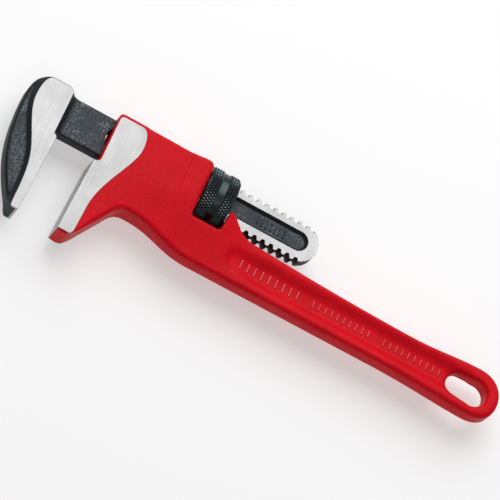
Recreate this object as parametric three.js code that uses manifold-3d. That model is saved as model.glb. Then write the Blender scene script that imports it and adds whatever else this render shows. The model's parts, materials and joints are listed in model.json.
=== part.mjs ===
// A spud-type pipe wrench, 12 inch size, in millimetres.
// +X runs from the jaws along the handle, +Y across the handle towards the shank, +Z through the thickness.
// The outlines are drawn about the shank's axis. The group at the end moves them all, so that the part's
// origin is the middle of the heel jaw's face.
import * as THREE from "three";
import { mergeVertices } from "three/addons/utils/BufferGeometryUtils.js";
import Module from "manifold-3d";

const wasm = await Module();
wasm.setup();

// Jaws
const jawOpening = 23; // between the jaw faces as modelled
const jawTop = -17.6; // where the heel face starts, below the shank's axis
const jawTip = -62.3;
const hookTip = -63.9;
const faceMiddle = new THREE.Vector2(-1.05, -40); // middle of the heel jaw's face
const faceLean = 0.038; // both faces lean by this much in X for each millimetre of Y
const jawThickness = 17.6; // hook jaw over its ground sides
const hookBackThickness = 12; // thinner back of the hook
const hookSide = -25.4; // where the hook ends beside the shank

// Shank and its thread
const shankHalfHeight = 11.6;
const shankThickness = 8.3;
const shankNeck = -20.4; // where the shank's plain part starts
const shankEnd = 131.8;
const threadLead = 5.08; // five turns to the inch, left hand
const threadPhase = 3.0; // X of a thread gap at the shank's upper edge
const threadRoot = 9.9;
const threadCrest = 11.9;
const toothRootWidth = 3.4;
const toothCrestWidth = 1.8;
const toothStart = 35;
const threadSides = 24; // facets in one turn
const lighteningHole = { x: 8.9, y: 0.6, radius: 8 };

// Handle forging
const housingThickness = 19.2;
const groundThickness = 20; // over the ground flats beside the heel jaw
const barThickness = 13.4;
const forgingChamfer = 1.2;
const mouth = 2.5; // front wall of the housing
const taperStart = 76; // the housing thins to the bar between these
const taperEnd = 100;
const lowerTaper = { top: -17, bottom: -31 }; // and towards its lower edge between these heights
const lowerEdge = [[18, 9.6], [32, 8.5], [47, 7.2], [65, 6.7], [110, 6.7]]; // X and half thickness there
const channelHalfHeight = 12.2;
const channelWidth = 9;
const nutWindow = { from: 60.5, to: 78.4, floor: -18.4, corner: 2 };
const webY = -28.6; // middle of the bar's recessed web
const webHalfWidth = 4.1;
const webDepth = 3.5;

// Adjusting nut
const nutRadius = 15.9;
const nutLength = 17.2;
const nutGroove = { width: 3.4, depth: 0.7 };
const nutChamfer = 0.9; // beside the housing
const nutCorner = 1.8; // at the other end
const threadClearance = 0.3;

// Springs in the housing
const springX = 38;
const leaf = { halfLength: 16, top: -12.55, sag: 1.2, thickness: 0.8, width: 7.6 };
const coil = { radius: 3.1, wire: 0.5, turns: 4, bottom: -21.2, top: -15.4 };
const pocket = { radius: 4.3, floor: -22 };
const leafRecess = { from: 20, to: 56, floor: -15.2 };

const outside = 80; // far enough from the shank's axis to be clear of the part

// ---------------------------------------------------------------- shape helpers

// A closed three.js geometry as a manifold-3d solid.
function solid(geometry) {
  geometry.deleteAttribute("normal");
  geometry.deleteAttribute("uv");
  const merged = mergeVertices(geometry, 1e-4);
  return new wasm.Manifold(
    new wasm.Mesh({
      numProp: 3,
      vertProperties: merged.getAttribute("position").array,
      triVerts: new Uint32Array(merged.index.array),
    }),
  );
}

// The largest body of a solid: a cut through a tooth's edge can leave a sliver beside it.
function largestBody(piece) {
  return piece.decompose().reduce((a, b) => (b.volume() > a.volume() ? b : a));
}

// A manifold-3d solid as a three.js geometry with flat faces.
function geometryOf(piece) {
  const mesh = largestBody(piece).getMesh();
  const geometry = new THREE.BufferGeometry();
  geometry.setAttribute("position", new THREE.BufferAttribute(mesh.vertProperties, 3));
  geometry.setIndex(new THREE.BufferAttribute(mesh.triVerts, 1));
  return geometry;
}

// An outline extruded along Z from z = 0, with a straight bevel of `rise` by `run` past both ends.
// `inset` moves the whole outline inwards, to keep a bevel inside it.
function extruded(outline, depth, rise = 0, run = 0, inset = 0) {
  const points = outline.getPoints(8);
  if (points[0].distanceTo(points.at(-1)) < 1e-6) points.pop(); // the closing point repeats the first
  return new THREE.ExtrudeGeometry(new THREE.Shape(points), {
    depth,
    bevelEnabled: rise > 0,
    bevelThickness: rise,
    bevelSize: run,
    bevelOffset: -inset,
    bevelSegments: 1,
  });
}

// A plate of an outline, centred on z = 0, with a chamfer inside the outline on both faces.
function plate(outline, thickness, chamfer = 0) {
  const geometry = extruded(outline, thickness - 2 * chamfer, chamfer, chamfer, chamfer);
  geometry.translate(0, 0, chamfer - thickness / 2);
  return solid(geometry);
}

function box(from, to) {
  const size = new THREE.Vector3(...to).sub(new THREE.Vector3(...from));
  const geometry = new THREE.BoxGeometry(size.x, size.y, size.z);
  geometry.translate(from[0] + size.x / 2, from[1] + size.y / 2, from[2] + size.z / 2);
  return solid(geometry);
}

// A profile in X and Z, extruded along Y.
function profileAcross(points, fromY, toY) {
  const shape = new THREE.Shape(points.map(([x, z]) => new THREE.Vector2(x, -z)));
  const geometry = new THREE.ExtrudeGeometry(shape, { depth: toY - fromY, bevelEnabled: false });
  geometry.rotateX(Math.PI / 2);
  geometry.translate(0, toY, 0);
  return solid(geometry);
}

// A solid through a row of sections, each a list of [x, y, z] corners in the same order.
function loft(sections) {
  const corners = sections[0].length;
  const faces = [];
  for (let step = 0; step < sections.length - 1; step += 1) {
    for (let corner = 0; corner < corners; corner += 1) {
      const a = step * corners + corner;
      const b = step * corners + ((corner + 1) % corners);
      faces.push(a, a + corners, b, b, a + corners, b + corners);
    }
  }
  const last = (sections.length - 1) * corners;
  for (let corner = 1; corner < corners - 1; corner += 1) {
    faces.push(0, corner, corner + 1);
    faces.push(last, last + corner + 1, last + corner);
  }
  const geometry = new THREE.BufferGeometry();
  geometry.setAttribute("position", new THREE.Float32BufferAttribute(sections.flat(2), 3));
  geometry.setIndex(faces);
  return solid(geometry);
}

// A body of revolution about the shank's axis, from a closed profile of [x, radius] points.
function turned(profile, sides) {
  const points = profile.map(([x, radius]) => new THREE.Vector2(radius, x));
  const geometry = new THREE.LatheGeometry(points, sides);
  geometry.rotateZ(-Math.PI / 2);
  return solid(geometry);
}

// X of a jaw face at a height y, from the middle of the heel jaw's face.
function heelFaceX(y) {
  return faceMiddle.x + faceLean * (y - faceMiddle.y);
}

function hookFaceX(y) {
  return heelFaceX(y) - jawOpening;
}

// ---------------------------------------------------------------- thread

// Half the width of a shank tooth at a radius.
function toothHalfWidth(radius) {
  const up = (radius - threadRoot) / (threadCrest - threadRoot);
  return (toothRootWidth + (toothCrestWidth - toothRootWidth) * up) / 2;
}

// One left-hand ridge along X, running past both ends of the stretch, as a row of four-sided sections.
function threadRidge(innerRadius, outerRadius, clearance, from, to) {
  const turns = Math.ceil((to - from) / threadLead) + 2;
  const middle = threadPhase + threadLead / 2; // a ridge lies half a lead from a gap
  const firstTurn = Math.round((to - middle) / threadLead) + 1;
  const startX = middle + firstTurn * threadLead;
  const section = [
    [innerRadius, -toothHalfWidth(innerRadius) - clearance],
    [outerRadius, -toothHalfWidth(outerRadius) - clearance],
    [outerRadius, toothHalfWidth(outerRadius) + clearance],
    [innerRadius, toothHalfWidth(innerRadius) + clearance],
  ];
  const sections = [];
  for (let step = 0; step <= turns * threadSides; step += 1) {
    const turn = (step + 0.5) / threadSides; // half a facet round from the core's corners
    const angle = turn * 2 * Math.PI;
    const x = startX - turn * threadLead;
    sections.push(
      section.map(([radius, offset]) => [x + offset, radius * Math.cos(angle), radius * Math.sin(angle)]),
    );
  }
  return loft(sections);
}

// A round core with the ridge on it.
function threadedRod(coreRadius, outerRadius, clearance, from, to) {
  const core = turned([[from, 0], [from, coreRadius], [to, coreRadius], [to, 0]], threadSides);
  const ridge = threadRidge(coreRadius - 0.4, outerRadius, clearance, from, to);
  const reach = outerRadius + 1;
  return core.add(ridge).intersect(box([from, -reach, -reach], [to, reach, reach]));
}

// ---------------------------------------------------------------- handle

// The whole forging seen from +Z: housing, heel jaw, window, horn and bar.
function forgingOutline() {
  const s = new THREE.Shape();
  s.moveTo(mouth, jawTop + 2.2);
  s.lineTo(mouth, 12);
  s.quadraticCurveTo(mouth, 14.4, mouth + 2.6, 14.4);
  s.lineTo(49, 14.4);
  s.quadraticCurveTo(52, 14.5, 54, 15.2); // low hump before the window
  s.quadraticCurveTo(59.5, 16, nutWindow.from, 12);
  s.lineTo(nutWindow.from, nutWindow.floor + nutWindow.corner);
  s.quadraticCurveTo(nutWindow.from, nutWindow.floor, nutWindow.from + nutWindow.corner, nutWindow.floor);
  s.lineTo(nutWindow.to - nutWindow.corner, nutWindow.floor);
  s.quadraticCurveTo(nutWindow.to, nutWindow.floor, nutWindow.to, nutWindow.floor + nutWindow.corner);
  s.lineTo(nutWindow.to + 0.8, -7);
  s.quadraticCurveTo(nutWindow.to + 1.6, -4.6, 82.6, -5.9); // horn behind the nut
  s.bezierCurveTo(86.5, -8, 88, -14.2, 98, -14.8);
  s.bezierCurveTo(125, -16.4, 160, -18.2, 199, -18.2);
  s.bezierCurveTo(215, -18.2, 226, -15.7, 241, -15.7);
  s.bezierCurveTo(251, -15.7, 257, -22, 257, -30.4); // rounded end of the bar
  s.bezierCurveTo(257, -38.5, 252, -42.7, 243, -42.7);
  s.bezierCurveTo(226, -42.7, 215, -40.8, 186, -40.8);
  s.lineTo(72, -41.5);
  s.bezierCurveTo(54, -41.8, 47, -33.5, 30, -33.6); // throat under the housing
  s.bezierCurveTo(24, -33.4, 22.3, -36.6, 19.2, -42);
  s.lineTo(12.2, -53.3);
  s.bezierCurveTo(7.5, -60.8, 5.5, -63.2, 2, -63.2);
  s.lineTo(heelFaceX(jawTip), jawTip - 0.5);
  s.lineTo(heelFaceX(jawTop), jawTop);
  s.quadraticCurveTo(mouth, jawTop + 0.4, mouth, jawTop + 2.2);
  return s;
}

// The ground flat beside the heel jaw and the housing's mouth.
function groundOutline() {
  const s = new THREE.Shape();
  s.moveTo(mouth, jawTop + 2.2);
  s.lineTo(mouth, 12);
  s.quadraticCurveTo(mouth, 14, mouth + 3, 14);
  s.lineTo(16, 14);
  s.bezierCurveTo(20, 14, 21.6, 8, 21.6, 1);
  s.bezierCurveTo(21.6, -10, 8.4, -26, 7.5, -44);
  s.lineTo(6.9, -58.5);
  s.quadraticCurveTo(6.6, jawTip, 4.6, jawTip);
  s.lineTo(heelFaceX(jawTip), jawTip);
  s.lineTo(heelFaceX(jawTop), jawTop);
  s.quadraticCurveTo(mouth, jawTop + 0.4, mouth, jawTop + 2.2);
  return s;
}

// The bar's web recess at its floor, running into the hanging slot.
function webOutline() {
  const from = 94;
  const to = 236;
  const s = new THREE.Shape();
  s.moveTo(from, webY - webHalfWidth);
  s.lineTo(to, webY - webHalfWidth - 0.6);
  s.lineTo(to, webY + webHalfWidth);
  s.lineTo(from, webY + webHalfWidth);
  s.absarc(from, webY, webHalfWidth, Math.PI / 2, (3 * Math.PI) / 2, false);
  return s;
}

function hangingSlotOutline() {
  const left = { x: 231.9, y: -29.2, radius: 7.4 };
  const right = { x: 240.9, y: -29.8, radius: 8.3 };
  const s = new THREE.Shape();
  s.absarc(left.x, left.y, left.radius, Math.PI / 2, (3 * Math.PI) / 2, false);
  s.absarc(right.x, right.y, right.radius, -Math.PI / 2, Math.PI / 2, false);
  return s;
}

// One web recess, as deep as the bar needs on the +Z side.
function webRecess() {
  const geometry = extruded(webOutline(), 2, webDepth, webDepth);
  geometry.translate(0, 0, barThickness / 2);
  return solid(geometry);
}

// What the housing lacks towards its lower edge on the +Z side.
function lowerWedge() {
  const { top, bottom } = lowerTaper;
  return loft(
    lowerEdge.map(([x, half]) => [
      [x, top, housingThickness / 2],
      [x, bottom, half],
      [x, -outside, half],
      [x, -outside, outside],
      [x, top, outside],
    ]),
  );
}

function handleSolid() {
  const half = housingThickness / 2;
  const bar = barThickness / 2;
  const envelope = profileAcross(
    [[-10, -half], [taperStart, -half], [taperEnd, -bar], [taperEnd, bar], [taperStart, half], [-10, half]],
    -outside,
    outside,
  );
  const wedge = lowerWedge();
  const housing = plate(forgingOutline(), housingThickness, forgingChamfer)
    .intersect(envelope)
    .subtract(wedge)
    .subtract(wedge.mirror([0, 0, 1]));
  const grip = plate(forgingOutline(), barThickness, forgingChamfer);
  const channel = box(
    [-10, -channelHalfHeight, -channelWidth / 2],
    [taperEnd, channelHalfHeight, channelWidth / 2],
  );
  const recess = webRecess();
  const leafSpace = box(
    [leafRecess.from, leafRecess.floor, -channelWidth / 2],
    [leafRecess.to, 0, channelWidth / 2],
  );
  const coilSpace = solid(
    new THREE.CylinderGeometry(pocket.radius, pocket.radius, -pocket.floor, 24).translate(
      springX,
      pocket.floor / 2,
      0,
    ),
  );
  return housing
    .add(grip)
    .add(plate(groundOutline(), groundThickness))
    .subtract(channel)
    .subtract(leafSpace)
    .subtract(coilSpace)
    .subtract(recess)
    .subtract(recess.rotate([180, 0, 0]).translate([0, 2 * webY, 0]))
    .subtract(plate(hangingSlotOutline(), outside));
}

// ---------------------------------------------------------------- hook jaw

function hookOutline() {
  const s = new THREE.Shape();
  s.moveTo(hookFaceX(jawTop), -17.2);
  s.quadraticCurveTo(-23.3, -15.2, hookSide, -14.6);
  s.lineTo(hookSide, 11.5);
  s.quadraticCurveTo(-25.7, 14.9, -29.5, 14.9);
  s.lineTo(-37.5, 14.9);
  s.bezierCurveTo(-45.5, 14.9, -48.4, 8, -48.4, -2);
  s.bezierCurveTo(-48.4, -30, -43, -42, -34, -57); // curved back of the hook
  s.quadraticCurveTo(-31, -62.2, -28.8, -63.4);
  s.lineTo(hookFaceX(hookTip), hookTip);
  s.lineTo(hookFaceX(jawTop), -17.2);
  return s;
}

// The ground side of the hook, which stands above its thinner back.
function hookLandOutline() {
  const s = new THREE.Shape();
  s.moveTo(0, -outside);
  s.lineTo(0, outside);
  s.lineTo(-35.5, outside);
  s.lineTo(-35.5, 20);
  s.bezierCurveTo(-40.5, 16, -43.7, 9, -43.7, 1);
  s.bezierCurveTo(-43.7, -14, -30.1, -30, -30, -52);
  s.lineTo(-30, -outside);
  s.lineTo(0, -outside);
  return s;
}

function tailOutline() {
  const endRadius = 11.2;
  const reach = threadCrest + 1;
  const s = new THREE.Shape();
  s.moveTo(toothStart, -reach);
  s.lineTo(shankEnd - endRadius, -reach);
  s.lineTo(shankEnd - endRadius, -endRadius);
  s.absarc(shankEnd - endRadius, 0, endRadius, -Math.PI / 2, Math.PI / 2, false);
  s.lineTo(shankEnd - endRadius, reach);
  s.lineTo(toothStart, reach);
  return s;
}

// The recessed panel on one side of the toothed part.
function shankPanel() {
  const halfWidth = 4.6;
  const depth = 1.6;
  const slope = 1.2;
  const from = toothStart + halfWidth;
  const to = 119.5;
  const s = new THREE.Shape();
  s.absarc(from, 0, halfWidth, Math.PI / 2, (3 * Math.PI) / 2, false);
  s.absarc(to, 0, halfWidth, -Math.PI / 2, Math.PI / 2, false);
  const geometry = extruded(s, 1, depth, slope);
  geometry.translate(0, 0, shankThickness / 2);
  return solid(geometry);
}

function hookSolid() {
  const slope = (jawThickness - hookBackThickness) / 2;
  const land = extruded(hookLandOutline(), hookBackThickness, slope, slope * 0.85);
  land.translate(0, 0, -hookBackThickness / 2);
  return plate(hookOutline(), jawThickness)
    .intersect(solid(land))
    .add(plate(hookOutline(), hookBackThickness, 1.5));
}

function plainShank() {
  const s = new THREE.Shape();
  s.moveTo(hookSide - 4, -shankHalfHeight);
  s.lineTo(toothStart + 1, -shankHalfHeight);
  s.lineTo(toothStart + 1, shankHalfHeight);
  s.lineTo(hookSide - 4, shankHalfHeight);
  s.lineTo(hookSide - 4, -shankHalfHeight);
  return plate(s, shankThickness, 1);
}

// The neck, which narrows from the hook's thickness to the shank's.
function hookNeck() {
  const hook = jawThickness / 2 - 0.4;
  const shank = shankThickness / 2 - 0.2;
  const root = hookSide - 2;
  return profileAcross(
    [[root, -hook], [hookSide, -hook], [shankNeck, -shank], [shankNeck, shank], [hookSide, hook], [root, hook]],
    -shankHalfHeight - 0.5,
    shankHalfHeight + 0.3,
  );
}

function hookJawSolid() {
  const rod = threadedRod(threadRoot, threadCrest, 0, toothStart, shankEnd + 1);
  const panel = shankPanel();
  const hole = solid(
    new THREE.CylinderGeometry(lighteningHole.radius, lighteningHole.radius, outside, 32)
      .rotateX(Math.PI / 2)
      .translate(lighteningHole.x, lighteningHole.y, 0),
  );
  return rod
    .intersect(plate(tailOutline(), shankThickness))
    .add(plainShank())
    .add(hookNeck())
    .add(hookSolid())
    .subtract(panel)
    .subtract(panel.rotate([180, 0, 0]))
    .subtract(hole);
}

// ---------------------------------------------------------------- nut and springs

function nutSolid() {
  const middle = (nutWindow.from + nutWindow.to) / 2;
  const from = middle - nutLength / 2;
  const to = middle + nutLength / 2;
  const grooveRadius = nutRadius - nutGroove.depth;
  const halfGroove = nutGroove.width / 2;
  const blank = turned(
    [
      [from, 0],
      [from, nutRadius - nutChamfer],
      [from + nutChamfer, nutRadius],
      [middle - halfGroove - nutGroove.depth, nutRadius],
      [middle - halfGroove, grooveRadius],
      [middle + halfGroove, grooveRadius],
      [middle + halfGroove + nutGroove.depth, nutRadius],
      [to - nutCorner, nutRadius],
      [to, nutRadius - nutCorner],
      [to, 0],
    ],
    48,
  );
  const play = 0.35; // radial play over the shank's teeth
  const thread = threadedRod(threadRoot + play, threadCrest + play, threadClearance, from - 2, to + 2);
  return blank.subtract(thread);
}

// The leaf: a shallow bow whose ends bear on the shank and whose middle sits on the coil.
function leafSolid() {
  const { halfLength, top, sag, thickness, width } = leaf;
  const s = new THREE.Shape();
  s.moveTo(springX - halfLength, top);
  s.quadraticCurveTo(springX, top - 2 * sag, springX + halfLength, top);
  s.lineTo(springX + halfLength, top - thickness);
  s.quadraticCurveTo(springX, top - 2 * sag - thickness, springX - halfLength, top - thickness);
  const rivetHole = new THREE.CylinderGeometry(1.2, 1.2, 10, 20).translate(springX, top, 0);
  return plate(s, width).subtract(solid(rivetHole));
}

// The rivet: a flat head over the leaf and a wider foot inside the coil.
function rivetGeometry() {
  const under = leaf.top - leaf.sag - leaf.thickness;
  const over = leaf.top - leaf.sag;
  const profile = [
    [0, under - 1.2],
    [1.9, under - 1.2],
    [1.9, under - 0.3],
    [0.9, under - 0.3],
    [0.9, over + 0.3],
    [1.8, over + 0.3],
    [1.8, over + 0.7],
    [0, over + 0.7],
  ];
  const points = profile.map(([radius, y]) => new THREE.Vector2(radius, y));
  return new THREE.LatheGeometry(points, 20).translate(springX, 0, 0);
}

function coilGeometry() {
  const { radius, wire, turns, bottom, top } = coil;
  const points = [];
  const stepsPerTurn = 14;
  for (let step = 0; step <= turns * stepsPerTurn; step += 1) {
    const angle = (step / stepsPerTurn) * 2 * Math.PI;
    const y = bottom + ((top - bottom) * step) / (turns * stepsPerTurn);
    points.push(new THREE.Vector3(radius * Math.cos(angle) + springX, y, radius * Math.sin(angle)));
  }
  const section = new THREE.Shape().absarc(0, 0, wire, 0, 2 * Math.PI, false);
  return new THREE.ExtrudeGeometry(section, {
    steps: turns * stepsPerTurn,
    extrudePath: new THREE.CatmullRomCurve3(points),
    curveSegments: 4,
  });
}

// ---------------------------------------------------------------- assembly

function finish(color, roughness, metalness) {
  return new THREE.MeshStandardMaterial({ color, roughness, metalness });
}

const redPaint = finish(0xd41428, 0.45, 0.1);
const blackForging = finish(0x464c52, 0.6, 0.7);
const blackNut = finish(0x23282a, 0.45, 0.8);
const springSteel = finish(0x9a9da0, 0.35, 1);

const pieces = [
  ["handle", geometryOf(handleSolid()), redPaint],
  ["hook_jaw", geometryOf(hookJawSolid()), blackForging],
  ["adjusting_nut", geometryOf(nutSolid()), blackNut],
  ["flat_spring", geometryOf(leafSolid()), springSteel],
  ["coil_spring", coilGeometry(), springSteel],
  ["spring_rivet", rivetGeometry(), springSteel],
];

const aboutShank = new THREE.Group();
for (const [name, geometry, material] of pieces) {
  const mesh = new THREE.Mesh(geometry, material);
  mesh.name = name;
  aboutShank.add(mesh);
}
aboutShank.position.set(-faceMiddle.x, -faceMiddle.y, 0);

const wrench = new THREE.Group();
wrench.add(aboutShank);

export default wrench;
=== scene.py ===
"""The looks of a spud-type pipe wrench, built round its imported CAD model.

Shapes are drawn in millimetres about the shank's axis, as the CAD's outlines are: +X runs from the jaws
along the handle, +Y across it towards the shank, and +Z through the thickness. The front is +Z.
"""

import json
import math

import bmesh
import bpy
import numpy as np
import openvdb
from mathutils import Matrix, Vector
from mathutils.geometry import tessellate_polygon


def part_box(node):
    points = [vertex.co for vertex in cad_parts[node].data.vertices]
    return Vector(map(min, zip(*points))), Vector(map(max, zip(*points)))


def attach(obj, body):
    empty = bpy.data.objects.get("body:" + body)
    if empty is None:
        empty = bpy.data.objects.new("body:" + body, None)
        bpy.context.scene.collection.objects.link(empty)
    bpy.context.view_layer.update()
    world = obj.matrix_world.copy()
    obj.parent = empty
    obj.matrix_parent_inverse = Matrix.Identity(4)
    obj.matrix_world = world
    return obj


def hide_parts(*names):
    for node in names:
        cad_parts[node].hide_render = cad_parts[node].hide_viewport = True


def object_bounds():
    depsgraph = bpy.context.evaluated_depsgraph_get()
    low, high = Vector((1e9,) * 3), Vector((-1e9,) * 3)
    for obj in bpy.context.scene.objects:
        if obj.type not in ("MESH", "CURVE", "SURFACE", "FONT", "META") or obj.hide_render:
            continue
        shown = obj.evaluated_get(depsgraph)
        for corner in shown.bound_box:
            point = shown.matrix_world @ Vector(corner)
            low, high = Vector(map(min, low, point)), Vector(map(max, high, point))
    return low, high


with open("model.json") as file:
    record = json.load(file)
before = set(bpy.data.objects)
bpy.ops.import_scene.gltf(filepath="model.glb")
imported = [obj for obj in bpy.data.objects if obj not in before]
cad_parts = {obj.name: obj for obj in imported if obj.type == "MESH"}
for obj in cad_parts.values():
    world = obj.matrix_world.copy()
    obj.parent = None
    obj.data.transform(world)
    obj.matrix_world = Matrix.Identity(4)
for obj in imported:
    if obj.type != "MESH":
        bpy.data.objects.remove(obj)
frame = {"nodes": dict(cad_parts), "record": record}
CAD_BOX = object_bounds()

# ---------------------------------------------------------------- sizes from the frame, in millimetres

MM = 0.001
NUT_LOW, NUT_HIGH = (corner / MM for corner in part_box("adjusting_nut"))
HANDLE_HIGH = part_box("handle")[1] / MM
HOOK_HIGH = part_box("hook_jaw")[1] / MM
MOUNTS = {mount["name"]: mount for mount in frame["record"]["mounts"]}

FACE_MIDDLE = (-1.05, -(NUT_LOW.y + NUT_HIGH.y) / 2)  # the row's origin, seen from the shank's axis
TO_ROW = np.array([-FACE_MIDDLE[0], -FACE_MIDDLE[1], 0])
NUT_FROM = NUT_LOW.x - TO_ROW[0]
NUT_TO = NUT_HIGH.x - TO_ROW[0]
NUT_RADIUS = NUT_HIGH.z
GROUND_HALF = HANDLE_HIGH.z  # half the thickness over the ground flats of the handle
HOOK_HALF = HOOK_HIGH.z
SHANK_END = HOOK_HIGH.x - TO_ROW[0]
JAW_OPENING = -MOUNTS["hook_jaw_face"]["pos_m"][0] / MM

# ---------------------------------------------------------------- sizes of the pieces, close to the CAD's

JAW_TOP = -17.6
JAW_TIP = -62.3
HOOK_TOP = -17.2
HOOK_TIP = -63.9
FACE_LEAN = 0.038  # both jaw faces lean by this much in X for each millimetre of Y

MOUTH = 2.5
HOUSING_HALF = 9.6
BAR_HALF = 6.5
TAPER_START = 76  # the housing thins to the bar between these
TAPER_END = 100
LOWER_TAPER = (-12, -38)  # and towards its lower edge between these heights
LOWER_EDGE_X = (18, 32, 47, 65)
LOWER_EDGE_HALF = (9.4, 8.0, 6.9, 6.5)  # half the thickness at the lower edge, at each of those X
BOSS_X = 47  # a low step across the housing, before the window
BOSS_RISE = 0.45
BOSS_DIP = 0.4  # of the shallow hollow that leads up to it
SHARP_EDGE = 0.7  # the edges' rounding at the window and the ground flat
ROUND_EDGE = 2.5  # and elsewhere
WINDOW_FROM = 60.5
WINDOW_TO = 78.4
WINDOW_FLOOR = -18.4
WINDOW_CORNER = 2
WEB_Y = -28.6
WEB_HALF_WIDTH = 4.1
WEB_FLOOR = 3.5  # height of the web's face above the middle of the bar
WEB_RISE = 1.8  # how much higher it is at the housing
WEB_SLOPE = 0.85  # of the walls round it
CHANNEL_HALF_HEIGHT = 12.2
CHANNEL_HALF_WIDTH = 4.5
SPRING_X = 38
LEAF_SPACE = (20, 56, -15.2)  # from, to and floor
POCKET = (4.3, -22)  # radius and floor

SHANK_HALF_HEIGHT = 11.7
SHANK_HALF = 4.15
SHANK_NECK = -20.2
NECK_HALF = 7.6  # half the shank's thickness where it leaves the hook
HOOK_SIDE = -25.4  # where the hook's flat ends beside the shank
HOOK_BACK_HALF = 5.9
HOOK_SLOPE = 1.15  # of the black wall round the hook's flat
SHANK_ROUNDING = 1.1
HOLE = (8.9, 0.6, 8.0)  # X, Y and radius of the lightening hole

THREAD_LEAD = 5.08
THREAD_PHASE = 3.0
THREAD_ROOT = 9.9
THREAD_CREST = 11.9
TOOTH_ROOT = 3.4
TOOTH_CREST = 1.8
TOOTH_START = 35
TAIL_RADIUS = 11.2
BARE_FLANK = 0.7  # the upper teeth keep this much of one flank black
SKIN = 0.1  # thickness of the bright ground flats over the black tail

PANEL_Y = 0.2
PANEL_FROM = TOOTH_START + 4.6
PANEL_TO = 119.9
PANEL_RIM = 5.8  # half its width at the ground flat
PANEL_BED = 4.1  # and at its floor
PANEL_FLOOR = 2.2  # height of the floor above the middle of the tail
PANEL_BARS = (95.5, 112, 5.2, 1.2, 2.7)  # from, to, height, width and step

BAR_GROUPS = (  # raised bars on the web: from, to, height, width and step
    (97, 134, 6.0, 1.5, 4.4),
    (142, 178, 4.6, 1.2, 3.8),
    (186, 221, 4.6, 1.2, 3.8),
)
BAR_BEVEL = 0.3

KNURL_CELLS = 56  # round the nut
KNURL_DEPTH = 0.6
KNURL_STEPS = 8  # along each knurled band
GROOVE_HALF = 1.7
GROOVE_DEPTH = 0.7
NUT_CHAMFER = 0.9
NUT_ROUNDING = 2.2  # length of the rounder corner at the other end
NUT_FALL = 0.42  # how steeply that corner falls, for each millimetre squared
BORE_PLAY = 0.35
BORE_ROWS = 60

FLAT_THICKNESS = 1.1  # of the bright plates that stand for the ground flats
FACE_THICKNESS = 1.2  # of the bright plates that stand for the jaw faces
FACE_DEPTH = 0.4  # the painted and black faces lie this far behind the ground ones
FIELD_MARGIN = 1.2  # room round a forging in the box that samples it
HANDLE_VOXEL = 0.5
HOOK_VOXEL = 0.4
ADAPTIVITY = 0.01  # how far flat areas of a sampled forging are thinned out
CURVE_STEPS = 14
ARC_STEPS = 18

# ---------------------------------------------------------------- camera, light and floor

CAMERA_TARGET = Vector((98.7, -16.4, 0.0))  # what the middle of the picture shows, about the shank's axis
CAMERA_SIDE = -0.135  # how far the view leans to the jaws' side
CAMERA_LOW = -0.405  # and to the side of the jaws' tips
CAMERA_ROLL = math.radians(28.5)  # the handle runs down to the right
CAMERA_DISTANCE = 2.8
VIEW_WIDTH = 0.270  # of the picture, at the wrench
LIGHT_DISTANCE = 1.5
STUDIO_MIDDLE = (0.1, 0, 0)


def make_camera():
    up = math.sqrt(1 - CAMERA_SIDE**2 - CAMERA_LOW**2)
    back = Vector((CAMERA_SIDE, CAMERA_LOW, up))
    along = Vector((1, 0, 0)) - back * CAMERA_SIDE
    along.normalize()
    across = back.cross(along)
    right = along * math.cos(CAMERA_ROLL) + across * math.sin(CAMERA_ROLL)
    top = across * math.cos(CAMERA_ROLL) - along * math.sin(CAMERA_ROLL)
    target = (CAMERA_TARGET + Vector(TO_ROW)) * MM
    data = bpy.data.cameras.new("camera")
    data.sensor_width = 36
    data.lens = data.sensor_width * CAMERA_DISTANCE / VIEW_WIDTH
    data.clip_start = 0.1
    data.clip_end = 20
    camera = bpy.data.objects.new("camera", data)
    camera.matrix_world = Matrix.Translation(target + back * CAMERA_DISTANCE) @ Matrix(
        (right, top, back)
    ).transposed().to_4x4()
    bpy.context.scene.collection.objects.link(camera)
    bpy.context.scene.camera = camera


def add_area_light(name, direction, size, power):
    """A square soft light that stands off from the wrench in a direction."""
    away = Vector(direction).normalized()
    data = bpy.data.lights.new(name, "AREA")
    data.size = size
    data.energy = power
    light = bpy.data.objects.new(name, data)
    light.location = Vector(STUDIO_MIDDLE) + away * LIGHT_DISTANCE
    light.rotation_euler = away.to_track_quat("Z", "Y").to_euler()
    bpy.context.scene.collection.objects.link(light)


def make_studio():
    world = bpy.data.worlds.new("studio")
    world.use_nodes = True
    background = world.node_tree.nodes["Background"]
    background.inputs["Color"].default_value = (1, 1, 1, 1)
    background.inputs["Strength"].default_value = 0.3
    bpy.context.scene.world = world
    bpy.context.scene.view_settings.view_transform = "Standard"
    add_area_light("key", (-0.1, 0.65, 0.8), 1.6, 24)
    add_area_light("fill", (0.1, -0.45, 0.88), 0.5, 1.2)
    below = CAD_BOX[0][2] - 0.2 * MM
    bpy.ops.mesh.primitive_plane_add(size=6, location=(*STUDIO_MIDDLE[:2], below))
    floor = bpy.context.object
    floor.name = "floor"
    material, nodes, _, shader = new_material("floor_white")
    shader.inputs["Base Color"].default_value = (0.55, 0.55, 0.55, 1)
    shader.inputs["Roughness"].default_value = 0.9
    shader.inputs["Emission Color"].default_value = (1, 1, 1, 1)
    shader.inputs["Emission Strength"].default_value = 0.42
    floor.data.materials.append(material)


# ---------------------------------------------------------------- materials


def new_material(name):
    material = bpy.data.materials.new(name)
    material.use_nodes = True
    nodes = material.node_tree.nodes
    return material, nodes, material.node_tree.links, nodes["Principled BSDF"]


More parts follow.
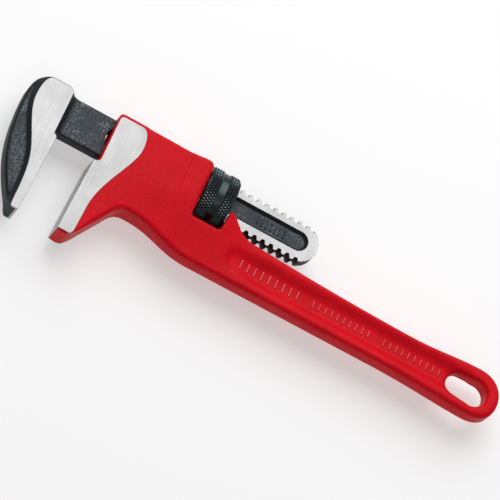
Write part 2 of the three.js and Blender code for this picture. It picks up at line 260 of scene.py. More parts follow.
def add_noise(nodes, links, scale, detail=2, stretch=(1, 1, 1)):
    """Noise with about `scale` cells to the metre, drawn out by `stretch` along X, Y and Z."""
    coordinates = nodes.new("ShaderNodeTexCoord")
    mapping = nodes.new("ShaderNodeMapping")
    mapping.inputs["Scale"].default_value = stretch
    noise = nodes.new("ShaderNodeTexNoise")
    noise.inputs["Scale"].default_value = scale
    noise.inputs["Detail"].default_value = detail
    links.new(coordinates.outputs["Object"], mapping.inputs["Vector"])
    links.new(mapping.outputs["Vector"], noise.inputs["Vector"])
    return noise.outputs["Fac"]


def add_ramp(nodes, links, value, stops):
    """A colour ramp of `value` with (place, colour) stops; a colour is three numbers or one grey."""
    ramp = nodes.new("ShaderNodeValToRGB")
    elements = ramp.color_ramp.elements
    while len(elements) < len(stops):
        elements.new(0.5)
    for element, (place, color) in zip(elements, stops):
        element.position = place
        element.color = (*color, 1) if isinstance(color, tuple) else (color, color, color, 1)
    links.new(value, ramp.inputs["Fac"])
    return ramp.outputs["Color"]


def add_bump(nodes, links, shader, layers):
    """Stacks (height, strength, depth in millimetres) bump layers on the shader."""
    normal = None
    for height, strength, depth in layers:
        bump = nodes.new("ShaderNodeBump")
        bump.inputs["Strength"].default_value = strength
        bump.inputs["Distance"].default_value = depth * MM
        links.new(height, bump.inputs["Height"])
        if normal:
            links.new(normal, bump.inputs["Normal"])
        normal = bump.outputs["Normal"]
    links.new(normal, shader.inputs["Normal"])


def red_paint(name, gloss):
    """Paint over a slightly rough forging; gloss is its specular level."""
    material, nodes, links, shader = new_material(name)
    blotches = add_noise(nodes, links, 70)
    peel = add_noise(nodes, links, 650, 3)
    nibs = add_noise(nodes, links, 900, 1)
    color = add_ramp(nodes, links, blotches, [(0.3, (0.56, 0.002, 0.009)), (0.7, (0.64, 0.003, 0.012))])
    links.new(color, shader.inputs["Base Color"])
    shader.inputs["Specular IOR Level"].default_value = gloss
    links.new(add_ramp(nodes, links, peel, [(0.3, 0.34), (0.7, 0.46)]), shader.inputs["Roughness"])
    nib_height = add_ramp(nodes, links, nibs, [(0.66, 0.0), (0.76, 1.0)])
    add_bump(nodes, links, shader, [(peel, 0.5, 0.25), (nib_height, 0.5, 0.2)])
    return material


def ground_steel():
    """Bright ground steel, with fine lines along Y."""
    material, nodes, links, shader = new_material("ground_steel")
    lines = add_noise(nodes, links, 1500, 3, (1, 0.04, 1))
    clouds = add_noise(nodes, links, 60)
    color = add_ramp(nodes, links, lines, [(0.3, (0.36, 0.357, 0.36)), (0.7, (0.42, 0.417, 0.42))])
    links.new(color, shader.inputs["Base Color"])
    links.new(add_ramp(nodes, links, clouds, [(0.3, 0.42), (0.7, 0.52)]), shader.inputs["Roughness"])
    shader.inputs["Metallic"].default_value = 0.85
    add_bump(nodes, links, shader, [(lines, 0.15, 0.05)])
    return material


def add_wall_shade_mask(nodes, links, steep, flat):
    """A mask for painted shade on walls: from 0 on walls whose normal has |Z| up to steep to 1 on faces where
    it is flat or more.
    """
    coordinates = nodes.new("ShaderNodeTexCoord")
    parts = nodes.new("ShaderNodeSeparateXYZ")
    size = nodes.new("ShaderNodeMath")
    size.operation = "ABSOLUTE"
    links.new(coordinates.outputs["Normal"], parts.inputs["Vector"])
    links.new(parts.outputs["Z"], size.inputs[0])
    return add_ramp(nodes, links, size.outputs["Value"], [(steep, 0.0), (flat, 1.0)])


def add_mix(nodes, links, factor, first, second):
    """A mix of two colours; the first may be a constant. A mix node's colour sockets are 6 and 7."""
    blend = nodes.new("ShaderNodeMix")
    blend.data_type = "RGBA"
    factor_socket, first_socket, second_socket = (blend.inputs[number] for number in (0, 6, 7))
    links.new(factor, factor_socket)
    if isinstance(first, tuple):
        first_socket.default_value = (*first, 1)
    else:
        links.new(first, first_socket)
    links.new(second, second_socket)
    return blend.outputs[2]


def black_forging():
    """Black oxide over a rough forging, with lighter grains on the flats; the walls are given painted shade
    that makes them nearly black.
    """
    material, nodes, links, shader = new_material("black_forging")
    grain = add_noise(nodes, links, 900, 5)
    scale = add_noise(nodes, links, 250, 3)
    clusters = add_noise(nodes, links, 110, 2)
    dark, middle, light = (0.022, 0.029, 0.033), (0.052, 0.062, 0.074), (0.17, 0.20, 0.23)
    plain = add_ramp(nodes, links, grain, [(0.32, dark), (0.6, middle)])
    grains = add_ramp(nodes, links, grain, [(0.32, dark), (0.5, middle), (0.68, light)])
    flats = add_mix(nodes, links, add_ramp(nodes, links, clusters, [(0.4, 0.0), (0.6, 1.0)]), plain, grains)
    # Painted shade: walls whose normal has |Z| under about 0.8 get a nearly black colour for the shade on
    # them, and the flats keep their grains.
    color = add_mix(nodes, links, add_wall_shade_mask(nodes, links, 0.8, 0.97), (0.012, 0.017, 0.019), flats)
    links.new(color, shader.inputs["Base Color"])
    links.new(add_ramp(nodes, links, scale, [(0.3, 0.45), (0.7, 0.62)]), shader.inputs["Roughness"])
    shader.inputs["Specular IOR Level"].default_value = 0.18
    add_bump(nodes, links, shader, [(scale, 0.4, 0.3), (grain, 0.6, 0.2)])
    return material


def black_nut():
    """Satin black, with the knurl's tips worn bright."""
    material, nodes, links, shader = new_material("black_nut")
    coordinates = nodes.new("ShaderNodeTexCoord")
    from_axis = nodes.new("ShaderNodeVectorMath")
    from_axis.operation = "SUBTRACT"
    from_axis.inputs[1].default_value = (0, TO_ROW[1] * MM, 0)
    across = nodes.new("ShaderNodeVectorMath")
    across.operation = "MULTIPLY"
    across.inputs[1].default_value = (0, 1, 1)
    length = nodes.new("ShaderNodeVectorMath")
    length.operation = "LENGTH"
    links.new(coordinates.outputs["Object"], from_axis.inputs[0])
    links.new(from_axis.outputs["Vector"], across.inputs[0])
    links.new(across.outputs["Vector"], length.inputs[0])
    worn = nodes.new("ShaderNodeMapRange")
    worn.inputs["From Min"].default_value = (NUT_RADIUS - 0.16) * MM
    worn.inputs["From Max"].default_value = (NUT_RADIUS - 0.03) * MM
    links.new(length.outputs["Value"], worn.inputs["Value"])
    color = add_ramp(
        nodes, links, worn.outputs["Result"], [(0.0, (0.037, 0.050, 0.052)), (1.0, (0.68, 0.80, 0.80))]
    )
    links.new(color, shader.inputs["Base Color"])
    grain = add_noise(nodes, links, 1200, 3)
    links.new(add_ramp(nodes, links, grain, [(0.3, 0.26), (0.7, 0.38)]), shader.inputs["Roughness"])
    shader.inputs["Metallic"].default_value = 1
    add_bump(nodes, links, shader, [(grain, 0.3, 0.08)])
    return material


def spring_steel():
    material, nodes, links, shader = new_material("spring_steel")
    lines = add_noise(nodes, links, 700, 3, (0.05, 1, 1))
    color = add_ramp(nodes, links, lines, [(0.3, (0.42, 0.43, 0.45)), (0.7, (0.58, 0.59, 0.61))])
    links.new(color, shader.inputs["Base Color"])
    links.new(add_ramp(nodes, links, lines, [(0.3, 0.28), (0.7, 0.4)]), shader.inputs["Roughness"])
    shader.inputs["Metallic"].default_value = 1
    add_bump(nodes, links, shader, [(lines, 0.2, 0.05)])
    return material


# ---------------------------------------------------------------- outlines


class Outline:
    """A closed outline in X and Y, drawn with lines, Bezier curves and arcs."""

    def __init__(self, x, y):
        self.points = [(x, y)]

    def line(self, x, y):
        self.points.append((x, y))

    def curve(self, *controls):
        """A Bezier curve from the last point to the last of the controls."""
        start = np.array([self.points[-1], *controls], float)
        for t in np.linspace(0, 1, CURVE_STEPS + 1)[1:]:
            row = start
            while len(row) > 1:
                row = row[:-1] * (1 - t) + row[1:] * t
            self.points.append(tuple(row[0]))

    def arc(self, x, y, radius, start, end):
        """An arc about (x, y), from one angle to another in degrees."""
        for angle in np.radians(np.linspace(start, end, ARC_STEPS + 1)):
            self.points.append((x + radius * math.cos(angle), y + radius * math.sin(angle)))

    def ring(self):
        """The points anticlockwise, as an array, without repeats."""
        points = np.array(self.points)
        points = points[np.hypot(*(points - np.roll(points, 1, 0)).T) > 1e-4]
        return points if signed_area(points) > 0 else points[::-1]


def signed_area(points):
    after = np.roll(points, -1, 0)
    return 0.5 * np.sum(points[:, 0] * after[:, 1] - points[:, 1] * after[:, 0])


def heel_face_x(y):
    return FACE_MIDDLE[0] + FACE_LEAN * (y - FACE_MIDDLE[1])


def hook_face_x(y):
    return heel_face_x(y) - JAW_OPENING


def forging_outline():
    """The painted forging: housing, heel jaw, nut window, horn and bar."""
    pen = Outline(MOUTH, JAW_TOP + 2.2)
    pen.line(MOUTH, 12.4)
    pen.curve((MOUTH, 14.8), (MOUTH + 2.6, 14.8))
    pen.line(49, 14.8)
    pen.curve((52, 14.8), (54, 15.3))  # low hump before the window
    pen.curve((59.5, 16), (WINDOW_FROM, 12))
    pen.line(WINDOW_FROM, WINDOW_FLOOR + WINDOW_CORNER)
    pen.curve((WINDOW_FROM, WINDOW_FLOOR), (WINDOW_FROM + WINDOW_CORNER, WINDOW_FLOOR))
    pen.line(WINDOW_TO - WINDOW_CORNER, WINDOW_FLOOR)
    pen.curve((WINDOW_TO, WINDOW_FLOOR), (WINDOW_TO, WINDOW_FLOOR + WINDOW_CORNER))
    pen.line(WINDOW_TO + 0.8, -7)
    pen.curve((WINDOW_TO + 1.6, -4.6), (82.6, -5.9))  # horn behind the nut
    pen.curve((86.5, -8), (88, -13.9), (98, -14.5))
    pen.curve((125, -16.1), (160, -17.9), (199, -17.9))
    pen.curve((215, -17.9), (226, -15.3), (241, -15.3))
    pen.curve((251, -15.3), (257, -22), (257, -30.4))  # rounded end of the bar
    pen.curve((257, -38.5), (252, -42.7), (243, -42.7))
    pen.curve((226, -42.7), (215, -40.8), (186, -40.8))
    pen.line(72, -41.5)
    pen.curve((54, -41.8), (47, -33.5), (30, -33.6))  # throat under the housing
    pen.curve((24, -33.4), (22.3, -36.6), (19.2, -42))
    pen.line(12.2, -53.3)
    pen.curve((7.5, -60.8), (5.5, -63.2), (2, -63.2))
    pen.line(heel_face_x(JAW_TIP) + FACE_DEPTH, JAW_TIP - 0.5)
    pen.line(heel_face_x(JAW_TOP) + FACE_DEPTH, JAW_TOP)
    pen.curve((MOUTH, JAW_TOP + 0.4), (MOUTH, JAW_TOP + 2.2))
    return pen.ring()


def heel_flat_outline():
    """The ground flat beside the heel jaw and the housing's mouth."""
    edge = MOUTH + 0.8
    pen = Outline(edge, JAW_TOP + 2.6)
    pen.line(edge, 10.5)
    pen.curve((edge, 12.8), (edge + 2.6, 12.8))
    pen.line(16, 12.8)
    pen.curve((20, 12.8), (21.6, 8), (21.6, 1))
    pen.curve((21.6, -10), (8.4, -26), (7.5, -44))
    pen.line(6.9, -58.5)
    pen.curve((6.6, JAW_TIP), (4.6, JAW_TIP))
    pen.line(heel_face_x(JAW_TIP), JAW_TIP)
    pen.line(heel_face_x(JAW_TOP), JAW_TOP)
    pen.curve((edge, JAW_TOP + 0.4), (edge, JAW_TOP + 2.6))
    return pen.ring()


def web_outline():
    """The bar's web recess at its floor."""
    start, end = 93.5, 236
    pen = Outline(end, WEB_Y + WEB_HALF_WIDTH)
    pen.arc(start, WEB_Y, WEB_HALF_WIDTH, 90, 270)
    pen.line(end, WEB_Y - WEB_HALF_WIDTH - 0.6)
    return pen.ring()


def hanging_slot_outline():
    pen = Outline(232.5, -22.9)
    pen.arc(232.5, -29.5, 6.6, 90, 270)
    pen.arc(242.2, -30, 7.5, -90, 90)
    return pen.ring()


def hook_outline(face_depth):
    """The hook jaw beside the shank, with its face moved back by face_depth."""
    pen = Outline(hook_face_x(JAW_TOP) - face_depth, HOOK_TOP)
    pen.curve((-23.3 - face_depth, -15.2), (HOOK_SIDE, -14.6))
    pen.line(HOOK_SIDE, 11.5)
    pen.curve((-25.7, 15.2), (-29.5, 15.2))
    pen.line(-37.5, 15.2)
    pen.curve((-45.5, 15.2), (-48.4, 8), (-48.4, -2))
    pen.curve((-48.4, -30), (-43, -42), (-34, -57))  # curved back
    pen.curve((-31, -62.2), (-28.8, -63.4))
    pen.line(hook_face_x(HOOK_TIP) - face_depth, HOOK_TIP)
    return pen.ring()


def hook_flat_outline():
    """The ground flat on the hook's side."""
    pen = Outline(hook_face_x(JAW_TOP), HOOK_TOP)
    pen.curve((-23.3, -15.2), (HOOK_SIDE, -14.6))
    pen.line(HOOK_SIDE, 11.5)
    pen.curve((-25.7, 13.9), (-29, 13.9))
    pen.line(-37.6, 13.9)
    pen.curve((-41.6, 13.9), (-43.3, 8.6), (-43.3, 0))
    pen.curve((-43.3, -9), (-36, -20), (-32.7, -30))
    pen.curve((-30.5, -37), (-29.7, -45), (-29.8, -58))
    pen.line(-29.7, HOOK_TIP + 1.9)
    pen.curve((-29.5, HOOK_TIP), (-28.1, HOOK_TIP))
    pen.line(hook_face_x(HOOK_TIP), HOOK_TIP)
    return pen.ring()


def panel_outline(half_width):
    """The slot-shaped panel in the tail's side."""
    pen = Outline(PANEL_TO, PANEL_Y + half_width)
    pen.arc(PANEL_FROM, PANEL_Y, half_width, 90, 270)
    pen.arc(PANEL_TO, PANEL_Y, half_width, -90, 90)
    return pen.ring()


def round_bar_outline(x, y, width, height, corner):
    """A bar with rounded corners, about its middle."""
    across, along = width / 2 - corner, height / 2 - corner
    pen = Outline(x + width / 2, y - along)
    pen.arc(x + across, y + along, corner, 0, 90)
    pen.arc(x - across, y + along, corner, 90, 180)
    pen.arc(x - across, y - along, corner, 180, 270)
    pen.arc(x + across, y - along, corner, 270, 360)
    return pen.ring()


# ---------------------------------------------------------------- distance fields for the forgings


def signed_distance(ring, x, y):
    """Distance from the points (x, y) to a closed outline, below zero inside it."""
    best = np.full(x.shape, np.inf)
    inside = np.zeros(x.shape, bool)
    for (ax, ay), (bx, by) in zip(ring, np.roll(ring, -1, 0)):
        ex, ey = bx - ax, by - ay
        t = np.clip(((x - ax) * ex + (y - ay) * ey) / (ex * ex + ey * ey), 0, 1)
        best = np.minimum(best, (x - ax - t * ex) ** 2 + (y - ay - t * ey) ** 2)
        if ey != 0:
            inside ^= ((ay > y) != (by > y)) & (x < ax + (y - ay) * ex / ey)
    return np.where(inside, -1, 1) * np.sqrt(best)


def ease(t):
    t = np.clip(t, 0, 1)
    return t * t * (3 - 2 * t)


def mix(a, b, t):
    return a + (b - a) * t


def smooth_min(a, b, reach):
    t = np.clip(0.5 + 0.5 * (b - a) / reach, 0, 1)
    return mix(b, a, t) - reach * t * (1 - t)


def smooth_max(a, b, reach):
    return -smooth_min(-a, -b, reach)


def through(plane):
    """A field in X and Y, ready to meet one in Z."""
    return plane[:, :, None]


def rounded_plate(side, height, corner, z):
    """A plate whose edge is rounded by corner: side is the distance to its outline."""
    beside = through(side + corner)
    above = np.abs(z) - through(height - corner)
    outside = np.sqrt(np.maximum(beside, 0) ** 2 + np.maximum(above, 0) ** 2)
    return np.minimum(np.maximum(beside, above), 0) + outside - through(corner)


def web_height(x):
    """Height of the web's face, which rises towards the housing."""
    return WEB_FLOOR + WEB_RISE * ease((108 - x) / 18)


def handle_height(x, y):
    """Half the forging's thickness, with the boss before the window and the sunk web."""
    height = mix(HOUSING_HALF, BAR_HALF, ease((x - TAPER_START) / (TAPER_END - TAPER_START)))
    hollow = BOSS_DIP * ease((x - 30) / 14) * ease((BOSS_X + 2 - x) / 3)
    boss = BOSS_RISE * ease((x - BOSS_X) / 2) - hollow
    height = height + boss * ease((y + 14) / 8) * ease((84 - x) / 6)
    lower_edge = np.interp(x, LOWER_EDGE_X, LOWER_EDGE_HALF)
    top, bottom = LOWER_TAPER
    height = mix(height, np.minimum(height, lower_edge), np.clip((top - y) / (top - bottom), 0, 1))
    web = signed_distance(web_outline(), x, y)
    return smooth_min(height, web_height(x) + WEB_SLOPE * smooth_max(web, 0, 2.2), 2.0)


def handle_rounding(x, y):
    """How far the forging's edges are rounded."""
    beside_window = np.maximum.reduce([WINDOW_FROM - x, x - WINDOW_TO, WINDOW_FLOOR - y])
    rounding = mix(SHARP_EDGE, ROUND_EDGE, ease(beside_window / 5))
    beside_flat = signed_distance(heel_flat_outline(), x, y)
    return mix(SHARP_EDGE, rounding, ease(beside_flat / 5))


def shank_channel(x, y, z):
    """Below zero in the channel that the shank slides in."""
    beside = np.maximum(np.abs(y) - CHANNEL_HALF_HEIGHT, x - TAPER_END)
    return np.maximum(through(beside), np.abs(z) - CHANNEL_HALF_WIDTH)


def spring_space(x, y, z):
    """Below zero in the room for the leaf spring and in the pocket for the coil."""
    leaf_from, leaf_to, leaf_floor = LEAF_SPACE
    beside = np.maximum.reduce([leaf_from - x, x - leaf_to, leaf_floor - y, y])
    leaf_space = np.maximum(through(beside), np.abs(z) - CHANNEL_HALF_WIDTH)
    radius, floor = POCKET
    pocket_side = np.sqrt(through((x - SPRING_X) ** 2) + z**2) - radius
    return np.minimum(leaf_space, np.maximum(pocket_side, through(np.maximum(floor - y, y))))


def handle_field(x, y, z):
    """Below zero inside the painted forging."""
    side = signed_distance(forging_outline(), x, y)
    body = rounded_plate(side, handle_height(x, y), handle_rounding(x, y), z)
    slot = signed_distance(hanging_slot_outline(), x, y)
    body = smooth_max(body, through(-slot), 2.5)
    body = smooth_max(body, -shank_channel(x, y, z), 0.5)
    return np.maximum(body, -spring_space(x, y, z))


def hook_field(x, y, z):
    """Below zero inside the black hook and the plain part of its shank."""
    side = signed_distance(hook_outline(FACE_DEPTH), x, y)
    flat = signed_distance(hook_flat_outline(), x, y)
    wall = HOOK_HALF - 0.3 - HOOK_SLOPE * smooth_max(flat, 0, 0.6)
    height = smooth_max(wall, HOOK_BACK_HALF, 1.2)
    hook = rounded_plate(side, height, mix(0.6, 2.6, ease(flat / 3)), z)
    down = np.clip((x - HOOK_SIDE) / (SHANK_NECK - HOOK_SIDE), 0, 1)
    neck = SHANK_HALF + (NECK_HALF - SHANK_HALF) * (1 - down) ** 2
    shank_side = np.maximum.reduce([np.abs(y) - SHANK_HALF_HEIGHT, HOOK_SIDE - 2.5 - x, x - TOOTH_START - 1])
    shank = rounded_plate(shank_side, neck, np.full(x.shape, SHANK_ROUNDING), z)
    hole_x, hole_y, hole_radius = HOLE
    hole = np.hypot(x - hole_x, y - hole_y) - hole_radius
    return smooth_max(smooth_min(hook, shank, 2.6), through(-hole), 0.8)


def field_mesh(field, low, high, voxel):
    """Points and faces of the surface where field(x, y, z) is zero, in a box that is sampled every voxel."""
    lines = [np.arange(a, b + voxel, voxel) for a, b in zip(low, high)]
    x, y = np.meshgrid(lines[0], lines[1], indexing="ij")
    values = field(x, y, lines[2][None, None, :])
    grid = openvdb.FloatGrid()
    grid.copyFromArray(np.clip(values, -3, 3).astype(np.float32))
    points, triangles, quads = grid.convertToPolygons(isovalue=0, adaptivity=ADAPTIVITY)
    faces = [tuple(face) for face in triangles.tolist() + quads.tolist()]
    return points * voxel + np.array(low), faces


# ---------------------------------------------------------------- crisp plates


def moved_in(ring, distance):
    """A ring moved to the left of its own direction, which is inwards for an anticlockwise one."""
    before = ring - np.roll(ring, 1, 0)
    before = before / np.hypot(*before.T)[:, None]
    after = np.roll(before, -1, 0)
    left_before = np.column_stack([-before[:, 1], before[:, 0]])
    left_after = np.column_stack([-after[:, 1], after[:, 0]])
    meeting = 1 + np.sum(left_before * left_after, 1)
    return ring + (left_before + left_after) * distance / np.maximum(meeting, 0.4)[:, None]


def at_height(ring, z):
    return np.column_stack([ring, np.full(len(ring), z)])


def band(first, second, count):
    """The faces between two closed rings of count points, whose numbers start at first and second."""
    after = [(k + 1) % count for k in range(count)]
    return [(first + k, first + after[k], second + after[k], second + k) for k in range(count)]


def cap(rings, starts):
    """Triangles over an outer ring with holes; starts are the rings' first point numbers."""
    numbers = np.concatenate([start + np.arange(len(ring)) for ring, start in zip(rings, starts)])
    corners = np.array(tessellate_polygon([[Vector((*point[:2], 0)) for point in ring] for ring in rings]))
    return [tuple(face) for face in numbers[corners].tolist()]


def plate(ring, low, high, bevel=0.15):
    """A closed plate of an outline between two heights, with a small bevel round its top."""
    count = len(ring)
    rings = [at_height(ring, low), at_height(ring, high - bevel), at_height(moved_in(ring, bevel), high)]
    faces = band(0, count, count) + band(count, 2 * count, count)
    faces += cap([rings[0]], [0]) + cap([rings[2]], [2 * count])
    return np.concatenate(rings), faces


def both_sides(part):
    """The part, and the same part on the other side of the middle plane."""
    points, faces = part
    return [part, (points * (1, 1, -1), faces)]


def face_plate(face_x, inwards, top, tip, half):
    """The ground face of a jaw, between its two flats; inwards is its thickness along X."""
    pen = Outline(face_x(top), top)
    pen.line(face_x(tip), tip)
    pen.line(face_x(tip) + inwards, tip)
    pen.line(face_x(top) + inwards, top)
    return plate(pen.ring(), -half, half, 0.01)


# ---------------------------------------------------------------- toothed part of the shank


def tooth_line(side, bare):
    """X places along an edge and the thread's radius at each, at the middle of the thickness.

    The upper teeth's first flank is moved in by bare at its root.
    """
    middle = THREAD_PHASE + THREAD_LEAD / 2 * (1 if side > 0 else 0)
    first = math.ceil((TOOTH_START - 2 - middle) / THREAD_LEAD)
    last = math.floor((SHANK_END - 4 - middle) / THREAD_LEAD)
    edge = 0.3
    half_root, half_crest = TOOTH_ROOT / 2, TOOTH_CREST / 2
    first_root = half_root - (bare if side > 0 else 0)
    offsets = [-first_root, -half_crest, edge - half_crest, half_crest - edge, half_crest, half_root]
    soft = THREAD_CREST - 0.25
    radii = [THREAD_ROOT, soft, THREAD_CREST, THREAD_CREST, soft, THREAD_ROOT]
    places = [middle + turn * THREAD_LEAD + offset for turn in range(first, last + 1) for offset in offsets]
    return np.array(places), np.array(radii * (last - first + 1))


def tail_edge(side, z, bare):
    """One edge of the tail at a height z, from the first tooth to the rounded end."""
    places, radii = tooth_line(side, bare)
    centre = SHANK_END - TAIL_RADIUS
    round_end = centre + TAIL_RADIUS * np.sin(np.radians(np.linspace(0, 90, 25)))
    inner = places[(places > TOOTH_START) & (places < centre + 5)]
    x = np.unique(np.concatenate([[TOOTH_START], inner, round_end]))
    radius = np.interp(x, places, radii, right=THREAD_ROOT)
    fade = 1 - ease((x - centre - 4) / 5)
    x = x - side * THREAD_LEAD * np.arcsin(z / radius) / (2 * math.pi) * fade
    past = np.clip(x - centre, 0, TAIL_RADIUS)
    reach = np.minimum(np.sqrt(radius**2 - z**2), np.sqrt(TAIL_RADIUS**2 - past**2) + 4 * (past == 0))
    return np.column_stack([x, side * reach])


def tail_ring(z, bare=0):
    """The tail's outline at a height z, anticlockwise."""
    upper = tail_edge(1, z, bare)
    lower = tail_edge(-1, z, bare)
    return np.concatenate([lower, upper[::-1][1:]])


def tail_core():
    """The black toothed bar, with the recessed panel in each side."""
    top = SHANK_HALF - SKIN
    heights = np.linspace(-top, top, 9)
    rings = [at_height(tail_ring(z), z) for z in heights]
    count = len(rings[0])
    faces = []
    for level in range(len(rings) - 1):
        faces += band(level * count, (level + 1) * count, count)
    total = len(rings) * count
    for side, level in ((-1, 0), (1, len(heights) - 1)):
        rim = at_height(panel_outline(PANEL_RIM), side * top)
        floor = at_height(panel_outline(PANEL_BED), side * PANEL_FLOOR)
        faces += cap([rings[level], rim], [level * count, total])
        faces += band(total, total + len(rim), len(rim))
        faces += cap([floor], [total + len(rim)])
        rings += [rim, floor]
        total += len(rim) + len(floor)
    return np.concatenate(rings), faces


def tail_flat(side):
    """The bright ground flat round the panel, on the front (1) or the back (-1)."""
    low, high = side * (SHANK_HALF - SKIN), side * SHANK_HALF
    outer = tail_ring(high, BARE_FLANK)
    hole = panel_outline(PANEL_RIM)
    rings = [at_height(outer, low), at_height(outer, high), at_height(hole, low), at_height(hole, high)]
    starts = np.cumsum([0] + [len(ring) for ring in rings])
    faces = band(starts[0], starts[1], len(outer)) + band(starts[2], starts[3], len(hole))
    faces += cap([rings[0], rings[2]], [starts[0], starts[2]])
    faces += cap([rings[1], rings[3]], [starts[1], starts[3]])
    return np.concatenate(rings), faces


# ---------------------------------------------------------------- adjusting nut


def triangle_wave(t):
    return np.abs(t - np.round(t))


def nut_outside(x):
    """The nut's radius at X: a small chamfer beside the housing and a rounder corner at the other end."""
    chamfer = np.maximum(NUT_FROM + NUT_CHAMFER - x, 0)
    corner = np.maximum(x - NUT_TO + NUT_ROUNDING, 0)
    return NUT_RADIUS - chamfer - NUT_FALL * corner**2


def nut_profile():
    """The outside as (X, radius, step): step counts along a knurled band and is None off it."""
    middle = (NUT_FROM + NUT_TO) / 2
    band_from = NUT_FROM + NUT_CHAMFER
    band_to = middle - GROOVE_HALF - GROOVE_DEPTH
    first_band = list(enumerate(np.linspace(band_from, band_to, KNURL_STEPS)))
    second_band = [(step, 2 * middle - x) for step, x in reversed(first_band)]
    groove = NUT_RADIUS - GROOVE_DEPTH
    profile = [(NUT_FROM, nut_outside(NUT_FROM), None)]
    profile += [(x, nut_outside(x), step) for step, x in first_band]
    profile += [(middle - GROOVE_HALF, groove, None), (middle + GROOVE_HALF, groove, None)]
    profile += [(x, nut_outside(x), step) for step, x in second_band]
    profile += [(NUT_TO, nut_outside(NUT_TO), None)]
    return profile


def knurl_cut(step, angles):
    """How deep the diamond knurl is at a step along its band, at each angle."""
    if step is None:
        return 0
    around = angles / (2 * math.pi) * KNURL_CELLS
    along = (step - 1) / 4
    tip = 2 * np.minimum(triangle_wave(along + around + 0.5), triangle_wave(along - around + 0.5))
    return KNURL_DEPTH * (1 - tip)


def bore_radius(x, angles):
    """The left-hand threaded bore's radius at X, at each angle: the shank's thread with play round it."""
    turn = angles / (2 * math.pi)
    offset = (x + THREAD_LEAD * turn - THREAD_PHASE) / THREAD_LEAD - 0.5
    from_tooth = triangle_wave(offset) * THREAD_LEAD
    half_root, half_crest = TOOTH_ROOT / 2 + 0.3, TOOTH_CREST / 2 + 0.3
    return np.interp(from_tooth, [half_crest, half_root], [THREAD_CREST + BORE_PLAY, THREAD_ROOT + BORE_PLAY])


def nut_part():
    """The knurled nut with its groove, rounded end and threaded bore."""
    angles = np.arange(4 * KNURL_CELLS) / (4 * KNURL_CELLS) * 2 * math.pi
    count = len(angles)
    rows = [(x, np.full(count, radius) - knurl_cut(step, angles)) for x, radius, step in nut_profile()]
    rows += [(x, bore_radius(x, angles)) for x in np.linspace(NUT_TO, NUT_FROM, BORE_ROWS)]
    points = [
        np.column_stack([np.full(count, x), radius * np.cos(angles), radius * np.sin(angles)])
        for x, radius in rows
    ]
    depth = np.array([radius for _, radius in rows])
    faces = []
    for i in range(len(rows)):
        below = (i + 1) % len(rows)
        for j in range(count):
            after = (j + 1) % count
            a, b, c, d = i * count + j, i * count + after, below * count + after, below * count + j
            if depth[i, j] + depth[below, after] < depth[i, after] + depth[below, j]:
                faces += [(a, b, c), (a, c, d)]  # split along the groove of the knurl
            else:
                faces += [(a, b, d), (b, c, d)]
    return np.concatenate(points), faces


# ---------------------------------------------------------------- pieces


def turn_outwards(mesh):
    """Makes every closed shell's faces agree and point outwards."""
    shape = bmesh.new()
    shape.from_mesh(mesh)
    bmesh.ops.recalc_face_normals(shape, faces=shape.faces)
    shape.to_mesh(mesh)
    shape.free()


def add_piece(name, parts, material, body, node, sharp=None):
    """Joins parts, each a closed (points, faces) pair in millimetres, into one piece on a body."""
    points = []
    faces = []
    start = 0
    for part_points, part_faces in parts:
        points.append(part_points)
        faces += [tuple(start + k for k in face) for face in part_faces]
        start += len(part_points)
    mesh = bpy.data.meshes.new(name)
    mesh.from_pydata(((np.concatenate(points) + TO_ROW) * MM).tolist(), [], faces)
    turn_outwards(mesh)
    mesh.shade_smooth()
    if sharp:
        mesh.set_sharp_from_angle(angle=math.radians(sharp))
    mesh.materials.append(material)
    piece = bpy.data.objects.new(name, mesh)
    bpy.context.scene.collection.objects.link(piece)
    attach(piece, body)
    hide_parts(node)


def web_bars():
    """Plain raised bars along the web, in three groups."""
    parts = []
    for start, end, height, width, step in BAR_GROUPS:
        for x in np.arange(start, end, step):
            ring = round_bar_outline(x, WEB_Y, width, height, width * 0.45)
            face = web_height(x)
            parts += both_sides(plate(ring, face - 0.5, face + 0.5, BAR_BEVEL))
    return parts


def panel_bars():
    """One group of plain raised bars on the floor of the tail's panel."""
    parts = []
    start, end, height, width, step = PANEL_BARS
    for x in np.arange(start, end, step):
        ring = round_bar_outline(x, PANEL_Y, width, height, 0.5)
        parts += both_sides(plate(ring, PANEL_FLOOR - 0.4, PANEL_FLOOR + 0.55, BAR_BEVEL))
    return parts


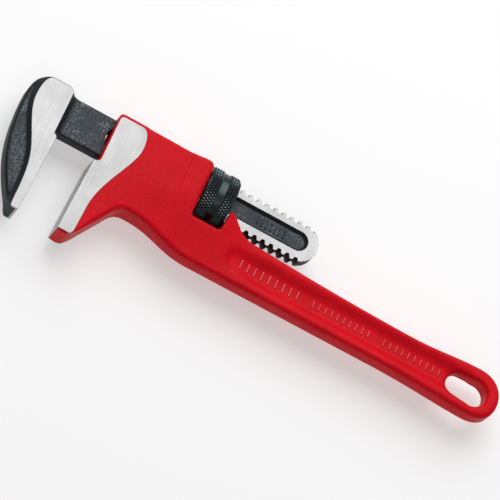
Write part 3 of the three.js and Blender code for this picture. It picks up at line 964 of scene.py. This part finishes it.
def make_handle(paint, bar_paint, steel):
    low = (-4.2, -66, -GROUND_HALF - FIELD_MARGIN)
    high = (259, 18, GROUND_HALF + FIELD_MARGIN)
    forging = field_mesh(handle_field, low, high, HANDLE_VOXEL)
    add_piece("handle_forging", [forging], paint, "handle_body", "handle")
    add_piece("handle_web_bars", web_bars(), bar_paint, "handle_body", "handle", 50)
    flats = both_sides(plate(heel_flat_outline(), GROUND_HALF - FLAT_THICKNESS, GROUND_HALF))
    face = face_plate(heel_face_x, FACE_THICKNESS, JAW_TOP, JAW_TIP, GROUND_HALF - FLAT_THICKNESS + 0.05)
    add_piece("heel_jaw_ground", [*flats, face], steel, "handle_body", "handle", 30)


def make_hook(forging_black, steel):
    low = (-51, -66, -HOOK_HALF - FIELD_MARGIN)
    high = (38, 18, HOOK_HALF + FIELD_MARGIN)
    forging = field_mesh(hook_field, low, high, HOOK_VOXEL)
    add_piece("hook_forging", [forging], forging_black, "jaw", "hook_jaw")
    flats = both_sides(plate(hook_flat_outline(), HOOK_HALF - FLAT_THICKNESS, HOOK_HALF))
    face = face_plate(hook_face_x, -FACE_THICKNESS, HOOK_TOP, HOOK_TIP, HOOK_HALF - FLAT_THICKNESS + 0.05)
    add_piece("hook_jaw_ground", [*flats, face], steel, "jaw", "hook_jaw", 30)
    add_piece("shank_teeth", [tail_core()], forging_black, "jaw", "hook_jaw", 30)
    add_piece("shank_ground", [tail_flat(1), tail_flat(-1)], steel, "jaw", "hook_jaw", 30)
    add_piece("shank_bars", panel_bars(), forging_black, "jaw", "hook_jaw", 50)


def make_nut(black):
    add_piece("knurled_nut", [nut_part()], black, "nut", "adjusting_nut", 25)


def make_springs(steel):
    """The spring set keeps its CAD meshes and gets a worked material."""
    for node in ("flat_spring", "coil_spring", "spring_rivet"):
        mesh = frame["nodes"][node].data
        mesh.materials.clear()
        mesh.materials.append(steel)


make_camera()
make_studio()
steel = ground_steel()
make_handle(red_paint("red_paint", 0.07), red_paint("bar_paint", 0.6), steel)
make_hook(black_forging(), steel)
make_nut(black_nut())
make_springs(spring_steel())
